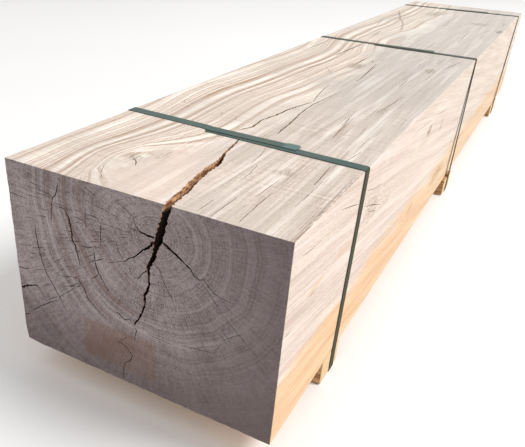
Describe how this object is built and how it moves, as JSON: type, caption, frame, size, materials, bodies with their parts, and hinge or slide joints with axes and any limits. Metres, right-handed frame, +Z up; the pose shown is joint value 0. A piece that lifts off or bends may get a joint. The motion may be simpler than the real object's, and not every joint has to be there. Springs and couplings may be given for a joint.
{
  "type": "hardwood post",
  "caption": "Squared hardwood post of raw stock with a heart cleft in one end, lying on softwood bearers and bound to them by flat green plastic straps.",
  "frame": {"origin": "on the floor under the middle of the post and its straps", "axes": "+Y along the post from its cleft front end to its far end, +X to the right seen from the front end, +Z up"},
  "size_m": [0.3628, 1.9, 0.2887],
  "materials": {
    "post_wood": "matte",
    "bearer_wood": "matte",
    "strap_plastic": "satin"
  },
  "bodies": {
    "root": {"post": "post_wood", "bearer_front": "bearer_wood", "bearer_middle": "bearer_wood", "bearer_rear": "bearer_wood", "strap_front": "strap_plastic", "strap_middle": "strap_plastic", "strap_rear": "strap_plastic"}
  },
  "joints": []
}
